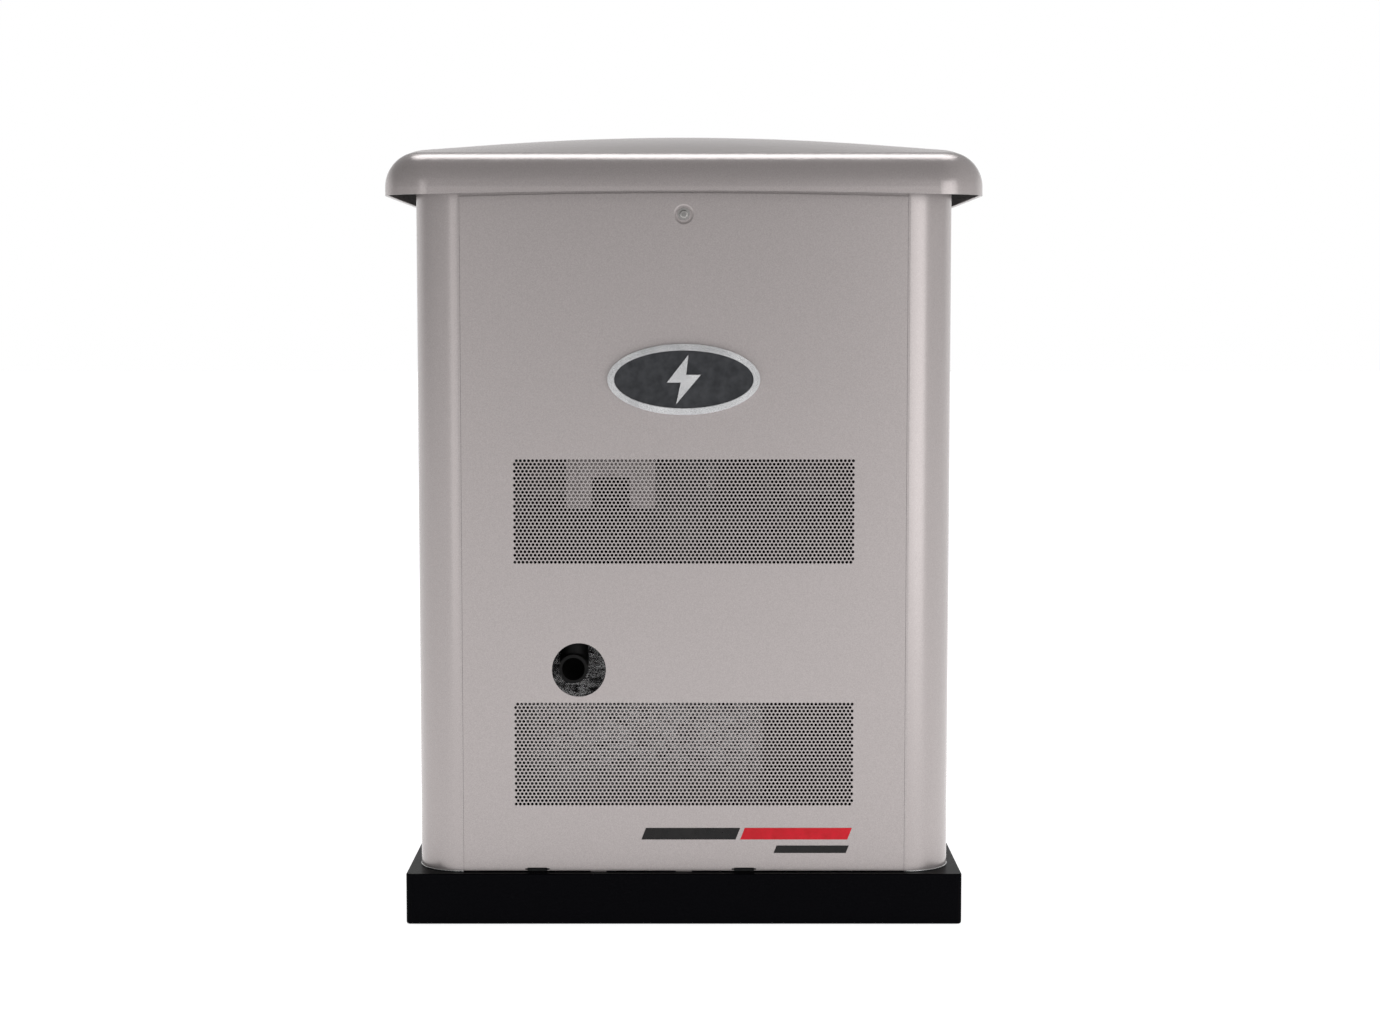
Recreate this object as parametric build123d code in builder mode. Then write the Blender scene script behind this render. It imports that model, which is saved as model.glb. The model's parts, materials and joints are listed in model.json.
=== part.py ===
from build123d import *
import os
from math import pi, sin, tan

os.makedirs("parts", exist_ok=True)

# Home standby generator. Origin: bottom centre of the pad. Front is -Y, up is +Z. All lengths in mm.

# ---------------------------------------------------------------- driving dimensions
PAD_W = 730
PAD_D = 680
PAD_H = 67
ANCHOR_X = 600
ANCHOR_Y = 560
ANCHOR_R = 6
ANCHOR_DEPTH = 40

BODY_W = 702
BODY_D = 652
BODY_R = 58
SHEET = 1.5
PANEL_GAP = 0.3
SEAM_X = 290
BODY_TOP = 962

FRONT_Y = -BODY_D / 2
PANEL_BOTTOM = 68.5
PANEL_TOP_SIDE = 950.5
PANEL_TOP_MID = 955

# every second hole of the real 5.28 mm pitch, with the same open area
HOLE_PITCH = 10.56
HOLE_R = 3.8
SCREEN_COLUMNS = 42
SCREEN_ROWS = 15
SCREEN_W = 448
UPPER_Z = 543
LOWER_Z = 223.5
SCREEN_H = 138

EXHAUST_X = -137.4
EXHAUST_Z = 335
EXHAUST_R = 35.35
LOCK_Z = 928
HOOK_XS = (-193, 79)

ROOF_W = 775
ROOF_D = 724
ROOF_RIM = 952
ROOF_TOP = 1045
ROOF_PLAN_R = 60
ROOF_ROLL_R = 46
DOME_RISE_Y = 38
DOME_HALF_Y = 325
DOME_RISE_X = 21
DOME_HALF_X = 358

HINGE_XS = (-210, 210)
HINGE_Y = 345
HINGE_Z = 945

CRANK_Y = 60
CYLINDER_Z = 440
MUFFLER_X = -70
MUFFLER_Y = -193
MUFFLER_Z = 200
MUFFLER_R = 65
MUFFLER_L = 280
OUTLET_X = -145
BEND = 48.5

BUTTONS = ((166, "button_run"), (202, "button_stop"))

FLOOR = PAD_H + 2


# ---------------------------------------------------------------- helpers
def bent_path(points, bend):
    """Centre line through the points, every corner rounded to the bend radius."""
    with BuildLine() as path:
        start = Vector(*points[0])
        for before, corner, after in zip(points, points[1:], points[2:]):
            to_before = (Vector(*before) - Vector(*corner)).normalized()
            to_after = (Vector(*after) - Vector(*corner)).normalized()
            half = to_before.get_angle(to_after) * pi / 360
            bisector = (to_before + to_after).normalized()
            arc_start = Vector(*corner) + to_before * (bend / tan(half))
            arc_end = Vector(*corner) + to_after * (bend / tan(half))
            arc_mid = Vector(*corner) + bisector * (bend / sin(half) - bend)
            Line(start, arc_start)
            ThreePointArc(arc_start, arc_mid, arc_end)
            start = arc_end
        Line(start, points[-1])
    return path.line


def tube(points, bend, outer, inner=0):
    """Round tube or solid cable along a bent centre line."""
    path = bent_path(points, bend)
    with BuildPart() as pipe:
        with BuildSketch(Plane(origin=path @ 0, z_dir=path % 0)):
            Circle(outer)
            if inner:
                Circle(inner, mode=Mode.SUBTRACT)
        sweep(path=path)
    return pipe.part


def block(x_range, y_range, z_range):
    """Plain box between three pairs of limits."""
    size = (x_range[1] - x_range[0], y_range[1] - y_range[0], z_range[1] - z_range[0])
    centre = (sum(x_range) / 2, sum(y_range) / 2, sum(z_range) / 2)
    with BuildPart() as box:
        with Locations(centre):
            Box(*size)
    return box.part


def body_outline(inset):
    """Rounded rectangle of the enclosure, moved in by inset; call inside a sketch."""
    RectangleRounded(BODY_W - 2 * inset, BODY_D - 2 * inset, BODY_R - inset)


def perforated_sheet(z_mid):
    """Flat sheet with staggered round holes, its front face level with the panel's front face."""
    y_back = FRONT_Y + SHEET
    row_step = HOLE_PITCH * sin(pi / 3)
    outline = Wire.make_rect(SCREEN_W, SCREEN_H, Plane((0, y_back, z_mid), (1, 0, 0), (0, -1, 0)))
    holes = []
    for row in range(SCREEN_ROWS):
        for column in range(SCREEN_COLUMNS):
            shift = HOLE_PITCH / 4 if row % 2 else -HOLE_PITCH / 4
            x = (column - (SCREEN_COLUMNS - 1) / 2) * HOLE_PITCH + shift
            z = z_mid + (row - (SCREEN_ROWS - 1) / 2) * row_step
            holes.append(Wire.make_circle(HOLE_R, Plane((x, y_back, z), (1, 0, 0), (0, -1, 0))))
    return Solid.extrude(Face(outline, holes), (0, -SHEET, 0))


def dome_height(x, y):
    """Height of the roof's crown: straight along the front edge, domed in the middle."""
    across = (x / DOME_HALF_X) ** 2
    along = (y / DOME_HALF_Y) ** 2
    return ROOF_TOP - DOME_RISE_Y * along - DOME_RISE_X * across * (1 - along)


def roof_block(inset, bottom):
    """Domed block with rolled edges, moved in by inset from the roof's outer surface."""
    grid = []
    for i in range(-5, 6):
        grid.append([(i * 84, j * 80, dome_height(i * 84, j * 80) - inset) for j in range(-5, 6)])
    dome = Face.make_surface_from_array_of_points(grid)
    with BuildPart() as solid:
        add(Solid.extrude(dome, (0, 0, -300)))
        with BuildSketch(Plane.XY.offset(bottom)):
            RectangleRounded(ROOF_W - 2 * inset, ROOF_D - 2 * inset, ROOF_PLAN_R - inset)
        extrude(amount=200, mode=Mode.INTERSECT)
        crown = solid.faces().sort_by(Axis.Z)[-1]
        fillet(crown.edges(), ROOF_ROLL_R - inset)
    return solid.part


def cylinder_plane(side, distance):
    """Plane square to one cylinder's axis, at a distance from the crankshaft."""
    direction = Vector(side, -1, 0).normalized()
    origin = Vector(0, CRANK_Y, CYLINDER_Z) + direction * distance
    return Plane(origin=origin, x_dir=(0, 0, 1), z_dir=direction)


def save(part, name):
    """Name one sub-part and write its STEP file."""
    part.label = name
    export_step(part, "parts/" + name + ".step")


# ---------------------------------------------------------------- pad, tray and frame
with BuildPart() as base_pad:
    with BuildSketch(Plane.XY):
        RectangleRounded(PAD_W, PAD_D, 6)
    extrude(amount=PAD_H)
    fillet(base_pad.faces().sort_by(Axis.Z)[0].edges(), 3)
    fillet(base_pad.faces().sort_by(Axis.Z)[-1].edges(), 1.5)
    with BuildSketch(Plane.XY):
        with GridLocations(ANCHOR_X, ANCHOR_Y, 2, 2):
            Circle(ANCHOR_R)
    extrude(amount=ANCHOR_DEPTH, mode=Mode.SUBTRACT)
    with BuildSketch(Plane.XY.offset(PAD_H)):
        with GridLocations(560, 590, 2, 2):
            Circle(5.2)
    extrude(amount=-34, mode=Mode.SUBTRACT)
save(base_pad.part, "base_pad")

with BuildPart() as base_tray:
    with BuildSketch(Plane.XY.offset(PAD_H)):
        body_outline(5)
    extrude(amount=28)
    with BuildSketch(Plane.XY.offset(FLOOR)):
        body_outline(7)
    extrude(amount=28, mode=Mode.SUBTRACT)
    for hook_x in HOOK_XS:
        add(block((hook_x - 18, hook_x + 18), (-330, -310), (FLOOR + 1, 100)), mode=Mode.SUBTRACT)
    with BuildSketch(Plane.XY.offset(PAD_H)):
        with GridLocations(560, 590, 2, 2):
            Circle(5.2)
    extrude(amount=2, mode=Mode.SUBTRACT)
save(base_tray.part, "base_tray")

with BuildPart() as pad_screws:
    with GridLocations(560, 590, 2, 2):
        with Locations((0, 0, FLOOR - 32)):
            Cylinder(5, 32, align=(Align.CENTER, Align.CENTER, Align.MIN))
        with Locations((0, 0, FLOOR)):
            Cylinder(10, 1.6, align=(Align.CENTER, Align.CENTER, Align.MIN))
    with BuildSketch(Plane.XY.offset(FLOOR + 1.6)):
        with GridLocations(560, 590, 2, 2):
            RegularPolygon(8, 6)
    extrude(amount=6)
save(pad_screws.part, "pad_screws")

with BuildPart() as frame_members:
    for side_x in (-1, 1):
        for side_y in (-1, 1):
            with BuildSketch(Plane.XY.offset(FLOOR)):
                with Locations((side_x * 311, side_y * 300)):
                    Rectangle(30, 2)
                with Locations((side_x * 325, side_y * 286)):
                    Rectangle(2, 30)
            extrude(amount=940 - FLOOR)
    add(block((-296, 296), (-301, -299), (614, 640)))
    add(block((-296, 296), (-299, -287), (638, 640)))
save(frame_members.part, "frame_members")

with BuildPart() as top_frame:
    with BuildSketch(Plane.XY.offset(905)):
        body_outline(SHEET + PANEL_GAP)
    extrude(amount=70)
    with BuildSketch(Plane.XY.offset(900)):
        body_outline(2 * SHEET + PANEL_GAP)
    extrude(amount=80, mode=Mode.SUBTRACT)
    with BuildSketch(Plane.XY.offset(940)):
        body_outline(2 * SHEET)
        RectangleRounded(BODY_W - 58, BODY_D - 58, 30, mode=Mode.SUBTRACT)
    extrude(amount=2)
    # notch that clears the front panel's fastener
    add(block((-22, 22), (-330, -316), (900, 944.5)), mode=Mode.SUBTRACT)
save(top_frame.part, "top_frame")

with BuildPart() as support_bracket:
    with BuildSketch(Plane.XZ.offset(301)):
        with Locations((-96, 591)):
            Rectangle(117, 92)
        with Locations((-96, 565)):
            Rectangle(50, 42, mode=Mode.SUBTRACT)
    extrude(amount=2)
    fillet(support_bracket.edges().filter_by(Axis.Y).group_by(Axis.Z)[0], 6)
save(support_bracket.part, "support_bracket")

# ---------------------------------------------------------------- enclosure panels
for side, name in ((-1, "left_side_panel"), (1, "right_side_panel")):
    with BuildPart() as side_panel:
        with BuildSketch(Plane.XY.offset(PAD_H)):
            body_outline(0)
            with Locations((side * (SEAM_X + 200), 0)):
                Rectangle(400, 2 * BODY_D, mode=Mode.INTERSECT)
        extrude(amount=BODY_TOP - PAD_H)
        with BuildSketch(Plane.XY.offset(PAD_H - 1)):
            body_outline(SHEET)
        extrude(amount=BODY_TOP, mode=Mode.SUBTRACT)
        for side_y in (-1, 1):
            strip_y = side_y * (BODY_D / 2 - SHEET - PANEL_GAP - SHEET / 2)
            root_y = side_y * (BODY_D / 2 - SHEET - 0.9)
            with BuildSketch(Plane.XY.offset(100)):
                with Locations((side * (SEAM_X - 8), strip_y)):
                    Rectangle(20, SHEET)
                with Locations((side * (SEAM_X + 5), root_y)):
                    Rectangle(8, 1.8)
            extrude(amount=800)
    save(side_panel.part, name)

with BuildPart() as rear_panel:
    with BuildSketch(Plane.XZ.offset(-BODY_D / 2)):
        with Locations((0, (BODY_TOP + PAD_H) / 2)):
            Rectangle(2 * SEAM_X - 0.6, BODY_TOP - PAD_H)
        with Locations((240, 150)):
            Circle(15, mode=Mode.SUBTRACT)
        with Locations((-215, 150)):
            Circle(12, mode=Mode.SUBTRACT)
    extrude(amount=SHEET)
    # pressed louvres: a sloping hood over every slot
    for column_x in (-170, 0, 170):
        for row in range(12):
            slot_z = 520 + row * 26
            with BuildSketch(Plane.YZ.offset(column_x - 70)):
                with BuildLine():
                    Polyline((325, slot_z + 14), (326, slot_z + 14), (334, slot_z), (332.6, slot_z - 0.6),
                             (325, slot_z + 11.6), close=True)
                make_face()
            extrude(amount=140)
            for end_x in (column_x - 70, column_x + 68.8):
                with BuildSketch(Plane.YZ.offset(end_x)):
                    with BuildLine():
                        Polyline((325, slot_z + 13.5), (326, slot_z + 13.5), (333.6, slot_z), (325, slot_z),
                                 close=True)
                    make_face()
                extrude(amount=1.2)
            slot = block((column_x - 68.8, column_x + 68.8), (324, 326), (slot_z, slot_z + 10))
            add(slot, mode=Mode.SUBTRACT)
save(rear_panel.part, "rear_panel")

with BuildPart() as front_panel:
    with BuildSketch(Plane.XZ.offset(-(FRONT_Y + SHEET))):
        with BuildLine():
            edge = SEAM_X - PANEL_GAP
            Polyline((-edge, PANEL_TOP_SIDE), (-edge, PANEL_BOTTOM), (edge, PANEL_BOTTOM), (edge, PANEL_TOP_SIDE))
            ThreePointArc((edge, PANEL_TOP_SIDE), (0, PANEL_TOP_MID), (-edge, PANEL_TOP_SIDE))
        make_face()
        for screen_z in (UPPER_Z, LOWER_Z):
            with Locations((0, screen_z)):
                Rectangle(SCREEN_W, SCREEN_H, mode=Mode.SUBTRACT)
        with Locations((EXHAUST_X, EXHAUST_Z)):
            Circle(EXHAUST_R, mode=Mode.SUBTRACT)
        with Locations((0, LOCK_Z)):
            Circle(13.5, mode=Mode.SUBTRACT)
        for hook_x in HOOK_XS:
            with Locations((hook_x, PANEL_BOTTOM + 2)):
                Rectangle(26, 4, mode=Mode.SUBTRACT)
                Rectangle(32, 2, mode=Mode.SUBTRACT)
        for tongue_x in (-112.5, 0):
            with Locations((tongue_x, PANEL_BOTTOM)):
                Rectangle(21, 2.4)
    extrude(amount=SHEET)
    # dished seat of the security fastener
    with BuildSketch(Plane.YZ):
        with BuildLine():
            Polyline((FRONT_Y, LOCK_Z + 13.6), (FRONT_Y, LOCK_Z + 13), (FRONT_Y + 1.8, LOCK_Z + 10),
                     (FRONT_Y + 1.8, LOCK_Z + 5.6), (FRONT_Y + 3.3, LOCK_Z + 5.6), (FRONT_Y + 3.3, LOCK_Z + 10.6),
                     (FRONT_Y + SHEET, LOCK_Z + 13.6), close=True)
        make_face()
    revolve(axis=Axis((0, 0, LOCK_Z), (0, 1, 0)))
    # stiffening channels on the inside
    for rib_z in (440, 665):
        add(block((-262, 262), (FRONT_Y + SHEET, FRONT_Y + 14), (rib_z - 12, rib_z - 10.8)))
        add(block((-262, 262), (FRONT_Y + SHEET, FRONT_Y + 14), (rib_z + 10.8, rib_z + 12)))
        add(block((-262, 262), (FRONT_Y + 12.8, FRONT_Y + 14), (rib_z - 12, rib_z + 12)))
    # hooks that sit in the notches of the tray
    for hook_x in HOOK_XS:
        add(block((hook_x - 12, hook_x + 12), (FRONT_Y + SHEET, FRONT_Y + 3), (76, 90)))
        add(block((hook_x - 12, hook_x + 12), (FRONT_Y + SHEET, FRONT_Y + 14), (76, 77.5)))
save(front_panel.part, "front_panel")

with BuildPart() as upper_vent_screen:
    add(perforated_sheet(UPPER_Z), clean=False)
save(upper_vent_screen.part, "upper_vent_screen")

with BuildPart() as lower_vent_screen:
    add(perforated_sheet(LOWER_Z), clean=False)
save(lower_vent_screen.part, "lower_vent_screen")

with BuildPart() as badge:
    with BuildSketch(Plane.XZ.offset(-FRONT_Y)):
        with Locations((0, 715)):
            Ellipse(99, 46)
    extrude(amount=3)
    with BuildSketch(Plane.XZ.offset(-FRONT_Y + 3)):
        with Locations((0, 715)):
            Ellipse(99, 46)
            Ellipse(91, 38, mode=Mode.SUBTRACT)
    extrude(amount=2.5)
    # raised bolt sign in the middle
    with BuildSketch(Plane.XZ.offset(-FRONT_Y + 3)):
        with BuildLine():
            Polyline((6, 747), (-22, 711), (-4, 711), (-10, 683), (22, 721), (3, 721), close=True)
        make_face()
    extrude(amount=2)
save(badge.part, "badge")

with BuildPart() as panel_lock:
    with BuildSketch(Plane.XZ.offset(-(FRONT_Y + 16))):
        with Locations((0, LOCK_Z)):
            Circle(4)
    extrude(amount=16)
    with BuildSketch(Plane.XZ.offset(-(FRONT_Y + 0.2))):
        with Locations((0, LOCK_Z)):
            Circle(5.1)
    extrude(amount=3.2)
    fillet(panel_lock.edges().filter_by(GeomType.CIRCLE).sort_by(Axis.Y)[0], 1)
    with BuildSketch(Plane.XZ.offset(-(FRONT_Y - 3))):
        with Locations((0, LOCK_Z)):
            RegularPolygon(2.9, 6)
            Circle(0.9, mode=Mode.SUBTRACT)
    extrude(amount=-3, mode=Mode.SUBTRACT)
    # loose washer under the head
    with BuildSketch(Plane.XZ.offset(-(FRONT_Y + 1.6))):
        with Locations((0, LOCK_Z)):
            Circle(7.8)
            Circle(4.4, mode=Mode.SUBTRACT)
    extrude(amount=1.2)
save(panel_lock.part, "panel_lock")

# ---------------------------------------------------------------- roof and its hinges
with BuildPart() as roof:
    add(roof_block(0, ROOF_RIM))
    add(roof_block(SHEET, ROOF_RIM - 1), mode=Mode.SUBTRACT)
    # the front and rear skirts rise slightly towards the middle
    with BuildSketch(Plane.XZ.offset(-ROOF_D / 2 - 1)):
        with BuildLine():
            ThreePointArc((-330, ROOF_RIM), (0, ROOF_RIM + 4.5), (330, ROOF_RIM))
            Polyline((330, ROOF_RIM), (330, ROOF_RIM - 5), (-330, ROOF_RIM - 5), (-330, ROOF_RIM))
        make_face()
    extrude(amount=ROOF_D + 2, mode=Mode.SUBTRACT)
save(roof.part, "roof")

with BuildPart() as roof_liner:
    add(roof_block(SHEET + 0.3, ROOF_RIM))
    with BuildSketch(Plane.XY.offset(985)):
        RectangleRounded(684, 634, 42)
    extrude(amount=80, mode=Mode.INTERSECT)
save(roof_liner.part, "roof_liner")

with BuildPart() as roof_seal:
    with BuildSketch(Plane.XY.offset(975)):
        body_outline(SHEET + PANEL_GAP - 1)
        RectangleRounded(BODY_W - 13.6, BODY_D - 13.6, BODY_R - 6.8, mode=Mode.SUBTRACT)
    extrude(amount=9.4)
    fillet(roof_seal.faces().sort_by(Axis.Z)[-1].edges(), 2)
save(roof_seal.part, "roof_seal")

with BuildPart() as hinge_brackets:
    for hinge_x in HINGE_XS:
        add(block((hinge_x - 32, hinge_x + 32), (326, 328.5), (895, 941)))
        add(block((hinge_x - 32, hinge_x + 32), (326, 334), (937, 941)))
        for end_x in (hinge_x - 32, hinge_x + 17):
            add(block((end_x, end_x + 15), (334, HINGE_Y), (937, 941)))
            with BuildSketch(Plane.YZ.offset(end_x)):
                with Locations((HINGE_Y, HINGE_Z)):
                    Circle(6)
            extrude(amount=15)
        with BuildSketch(Plane.YZ.offset(hinge_x - 34)):
            with Locations((HINGE_Y, HINGE_Z)):
                Circle(3)
        extrude(amount=68)
save(hinge_brackets.part, "hinge_brackets")

with BuildPart() as hinge_leaves:
    for hinge_x in HINGE_XS:
        add(block((hinge_x - 16, hinge_x + 16), (HINGE_Y, 360.5), (HINGE_Z + 1.5, HINGE_Z + 5)))
        add(block((hinge_x - 16, hinge_x + 16), (357.7, 360.5), (HINGE_Z + 1.5, 960)))
        with BuildSketch(Plane.YZ.offset(hinge_x - 16)):
            with Locations((HINGE_Y, HINGE_Z)):
                Circle(6)
        extrude(amount=32)
        with BuildSketch(Plane.YZ.offset(hinge_x - 16)):
            with Locations((HINGE_Y, HINGE_Z)):
                Circle(3.3)
        extrude(amount=32, mode=Mode.SUBTRACT)
save(hinge_leaves.part, "hinge_leaves")

# ---------------------------------------------------------------- alternator
with BuildPart() as isolators:
    for foot_x in (-120, 120):
        for foot_y in (CRANK_Y - 120, CRANK_Y + 120):
            with Locations((foot_x, foot_y, FLOOR)):
                Cylinder(24, 6, align=(Align.CENTER, Align.CENTER, Align.MIN))
                Cylinder(18, 30, align=(Align.CENTER, Align.CENTER, Align.MIN))
save(isolators.part, "isolators")

with BuildPart() as alternator_bracket:
    with BuildSketch(Plane.XY.offset(99)):
        with Locations((0, CRANK_Y)):
            RectangleRounded(300, 290, 40)
            Circle(20.4, mode=Mode.SUBTRACT)
    extrude(amount=14)
    with BuildSketch(Plane.XY.offset(113)):
        with Locations((0, CRANK_Y)):
            Circle(118)
            Circle(107, mode=Mode.SUBTRACT)
    extrude(amount=12)
    with BuildSketch(Plane.XY.offset(113)):
        with Locations((0, CRANK_Y)):
            with PolarLocations(112, 12):
                Rectangle(14, 18)
    extrude(amount=7, mode=Mode.SUBTRACT)
save(alternator_bracket.part, "alternator_bracket")

with BuildPart() as stator_core:
    with BuildSketch(Plane.XY.offset(125)):
        with Locations((0, CRANK_Y)):
            Circle(115)
            with PolarLocations(116, 24):
                Rectangle(8, 5)
            Circle(76, mode=Mode.SUBTRACT)
    extrude(amount=145)
save(stator_core.part, "stator_core")

with BuildPart() as stator_windings:
    for ring_z in (114.5, 270):
        with BuildSketch(Plane.XY.offset(ring_z)):
            with Locations((0, CRANK_Y)):
                Circle(103)
                Circle(80, mode=Mode.SUBTRACT)
        extrude(amount=10.5)
    fillet(stator_windings.edges().filter_by(GeomType.CIRCLE).group_by(Axis.Z)[0], 3)
    fillet(stator_windings.edges().filter_by(GeomType.CIRCLE).group_by(Axis.Z)[-1], 3)
save(stator_windings.part, "stator_windings")

with BuildPart() as rotor_core:
    with BuildSketch(Plane.XY.offset(130)):
        with Locations((0, CRANK_Y)):
            Circle(75)
            for slot_angle in (0, 180):
                with Locations(Location((0, 0, 0), (0, 0, slot_angle))):
                    with Locations((66, 0)):
                        Rectangle(24, 50, mode=Mode.SUBTRACT)
            Circle(20, mode=Mode.SUBTRACT)
    extrude(amount=135)
save(rotor_core.part, "rotor_core")

with BuildPart() as rotor_windings:
    for ring_z in (120, 265):
        with BuildSketch(Plane.XY.offset(ring_z)):
            with Locations((0, CRANK_Y)):
                Circle(62)
                Circle(24, mode=Mode.SUBTRACT)
        extrude(amount=10)
save(rotor_windings.part, "rotor_windings")

# ---------------------------------------------------------------- engine
with BuildPart() as crankcase:
    with BuildSketch(Plane.XY.offset(270)):
        with Locations((0, CRANK_Y)):
            Circle(118)
            Circle(107, mode=Mode.SUBTRACT)
    extrude(amount=24)
    with BuildSketch(Plane.XY.offset(294)):
        with Locations((0, CRANK_Y)):
            Circle(118)
    extrude(amount=12)
    with BuildSketch(Plane.XY.offset(306)):
        with Locations((0, CRANK_Y)):
            RectangleRounded(190, 180, 18)
    extrude(amount=214)
    with BuildSketch(Plane.XY.offset(340)):
        with Locations((0, CRANK_Y)):
            RectangleRounded(204, 194, 22)
    extrude(amount=10)
    with BuildSketch(Plane.XY.offset(508)):
        with Locations((0, CRANK_Y)):
            RectangleRounded(200, 190, 20)
    extrude(amount=8)
    with BuildSketch(Plane.XY.offset(392)):
        with Locations((0, CRANK_Y)):
            Circle(66)
    extrude(amount=96, mode=Mode.SUBTRACT)
    with BuildSketch(Plane.XY.offset(270)):
        with Locations((0, CRANK_Y)):
            Circle(20.4)
    extrude(amount=260, mode=Mode.SUBTRACT)
save(crankcase.part, "crankcase")

with BuildPart() as cylinders:
    for side in (-1, 1):
        with BuildSketch(cylinder_plane(side, 136)):
            Circle(44)
        extrude(amount=64)
        for fin in range(8):
            with BuildSketch(cylinder_plane(side, 138 + fin * 7.6)):
                RectangleRounded(108, 108, 12)
            extrude(amount=2.4)
save(cylinders.part, "cylinders")

with BuildPart() as cylinder_heads:
    for side in (-1, 1):
        with BuildSketch(cylinder_plane(side, 200)):
            RectangleRounded(92, 92, 10)
        extrude(amount=45)
        for fin in range(5):
            with BuildSketch(cylinder_plane(side, 202 + fin * 7.6)):
                RectangleRounded(108, 108, 12)
            extrude(amount=2.4)
save(cylinder_heads.part, "cylinder_heads")

with BuildPart() as valve_covers:
    for side in (-1, 1):
        with BuildSketch(cylinder_plane(side, 245)):
            RectangleRounded(96, 86, 10)
        extrude(amount=5)
        with BuildSketch(cylinder_plane(side, 250)):
            RectangleRounded(84, 74, 14)
        extrude(amount=24, taper=6)
save(valve_covers.part, "valve_covers")

with BuildPart() as crankshaft:
    with BuildSketch(Plane.XY.offset(101)):
        with Locations((0, CRANK_Y)):
            Circle(20)
    extrude(amount=299)
    with BuildSketch(Plane.XY.offset(480)):
        with Locations((0, CRANK_Y)):
            Circle(20)
    extrude(amount=50)
    with BuildSketch(Plane.XY.offset(530)):
        with Locations((0, CRANK_Y)):
            Circle(16)
    extrude(amount=70)
    for web_z in (400, 468):
        with BuildSketch(Plane.XY.offset(web_z)):
            with Locations((0, CRANK_Y)):
                Circle(54)
            with Locations((0, CRANK_Y + 50)):
                Rectangle(120, 40, mode=Mode.SUBTRACT)
        extrude(amount=12)
    with BuildSketch(Plane.XY.offset(412)):
        with Locations((0, CRANK_Y - 28)):
            Circle(17)
    extrude(amount=56)
save(crankshaft.part, "crankshaft")

with BuildPart() as flywheel:
    with BuildSketch(Plane.XY.offset(535)):
        with Locations((0, CRANK_Y)):
            Circle(118)
            with PolarLocations(118.6, 96):
                Rectangle(3.2, 3.6)
            Circle(16, mode=Mode.SUBTRACT)
    extrude(amount=14)
    with BuildSketch(Plane.XY.offset(549)):
        with Locations((0, CRANK_Y)):
            Circle(34)
            Circle(16, mode=Mode.SUBTRACT)
    extrude(amount=48)
    with BuildSketch(Plane.XY.offset(549)):
        with Locations((0, CRANK_Y)):
            with PolarLocations(76, 14):
                with Locations(Location((0, 0, 0), (0, 0, 28))):
                    Rectangle(66, 3)
    extrude(amount=38)
save(flywheel.part, "flywheel")

with BuildPart() as blower_housing:
    with BuildSketch(Plane.XY.offset(521)):
        with Locations((0, CRANK_Y)):
            Circle(148)
    extrude(amount=97)
    fillet(blower_housing.edges().group_by(Axis.Z)[-1], 14)
    with BuildSketch(Plane.XY.offset(520)):
        with Locations((0, CRANK_Y)):
            Circle(145.5)
    extrude(amount=94, mode=Mode.SUBTRACT)
    with BuildSketch(Plane.XY.offset(600)):
        with Locations((0, CRANK_Y)):
            Circle(88)
    extrude(amount=30, mode=Mode.SUBTRACT)
    # spiral debris guard over the air inlet
    with BuildSketch(Plane.XY.offset(614)):
        with Locations((0, CRANK_Y)):
            for ring_r in (20, 32, 44, 56, 68, 80):
                Circle(ring_r)
                Circle(ring_r - 3, mode=Mode.SUBTRACT)
            Circle(14)
    extrude(amount=2)
    with BuildSketch(Plane.XY.offset(614)):
        with Locations((0, CRANK_Y)):
            with PolarLocations(0, 3):
                Rectangle(178, 4)
    extrude(amount=3.5)
    # opening for the starter pinion and ducts down to the cylinders
    add(block((112, 160), (CRANK_Y - 24, CRANK_Y + 24), (520, 560)), mode=Mode.SUBTRACT)
    # brackets that stand on the crankcase
    for leg_x in (-1, 1):
        for leg_y in (-1, 1):
            leg = block((leg_x * 86 - 6, leg_x * 86 + 6), (CRANK_Y + leg_y * 92 - 28, CRANK_Y + leg_y * 92 + 28),
                        (520, 524))
            add(leg)
save(blower_housing.part, "blower_housing")

with BuildPart() as spark_plugs:
    for side in (-1, 1):
        plug_plane = Plane(origin=Vector(side * 197, -60, CYLINDER_Z), z_dir=Vector(side, 1, 0))
        with BuildSketch(plug_plane.offset(0.8)):
            RegularPolygon(9, 6)
        extrude(amount=9)
        with BuildSketch(plug_plane.offset(9.8)):
            Circle(6)
        extrude(amount=18)
save(spark_plugs.part, "spark_plugs")

with BuildPart() as ignition_leads:
    for side in (-1, 1):
        add(tube([(side * 218, -39, CYLINDER_Z), (side * 236, -21, CYLINDER_Z), (side * 236, -21, 560),
                  (side * 152, 20, 560)], 16, 4))
save(ignition_leads.part, "ignition_leads")

with BuildPart() as starter_motor:
    with Locations((137, CRANK_Y, 385)):
        Cylinder(33, 118, align=(Align.CENTER, Align.CENTER, Align.MIN))
    with Locations((137, CRANK_Y, 503)):
        Cylinder(20, 7, align=(Align.CENTER, Align.CENTER, Align.MIN))
    add(block((95, 110), (CRANK_Y - 25, CRANK_Y + 25), (460, 500)))
    with Locations((150, CRANK_Y, 378)):
        Cylinder(5, 7, align=(Align.CENTER, Align.CENTER, Align.MIN))
save(starter_motor.part, "starter_motor")

with BuildPart() as starter_pinion:
    with BuildSketch(Plane.XY.offset(510.5)):
        with Locations((137, CRANK_Y)):
            Circle(12)
            with PolarLocations(12.6, 12):
                Rectangle(3.4, 3)
    extrude(amount=18)
    with BuildSketch(Plane.XY.offset(528.5)):
        with Locations((137, CRANK_Y)):
            Circle(7)
    extrude(amount=5)
save(starter_pinion.part, "starter_pinion")

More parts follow.
